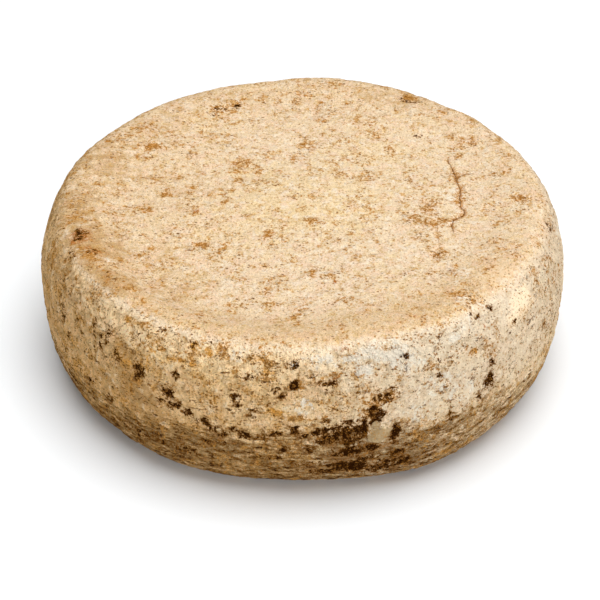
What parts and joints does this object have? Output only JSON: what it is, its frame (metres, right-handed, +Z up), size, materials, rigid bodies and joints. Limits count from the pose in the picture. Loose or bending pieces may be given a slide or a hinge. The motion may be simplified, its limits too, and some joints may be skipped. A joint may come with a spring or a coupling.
{
  "type": "cheese wheel",
  "caption": "Small uncut wheel of cheese with a mottled natural rind, a shallow dished top inside a low lip, rounded shoulders, bulging sides and a flat foot.",
  "frame": {"origin": "middle of the flat foot, under the centre of the wheel's bounding box", "axes": "+Z up through the wheel from its foot, -Y towards the front with the chalky bloom, +X to the right of it"},
  "size_m": [0.2, 0.1988, 0.0656],
  "materials": {
    "rind": "dry natural rind, cream and beige, finely wrinkled and pitted, with ochre and brown mottling, dark mould spots and a chalky bloom at the front"
  },
  "bodies": {
    "root": {"cheese_wheel": "rind"}
  },
  "joints": []
}
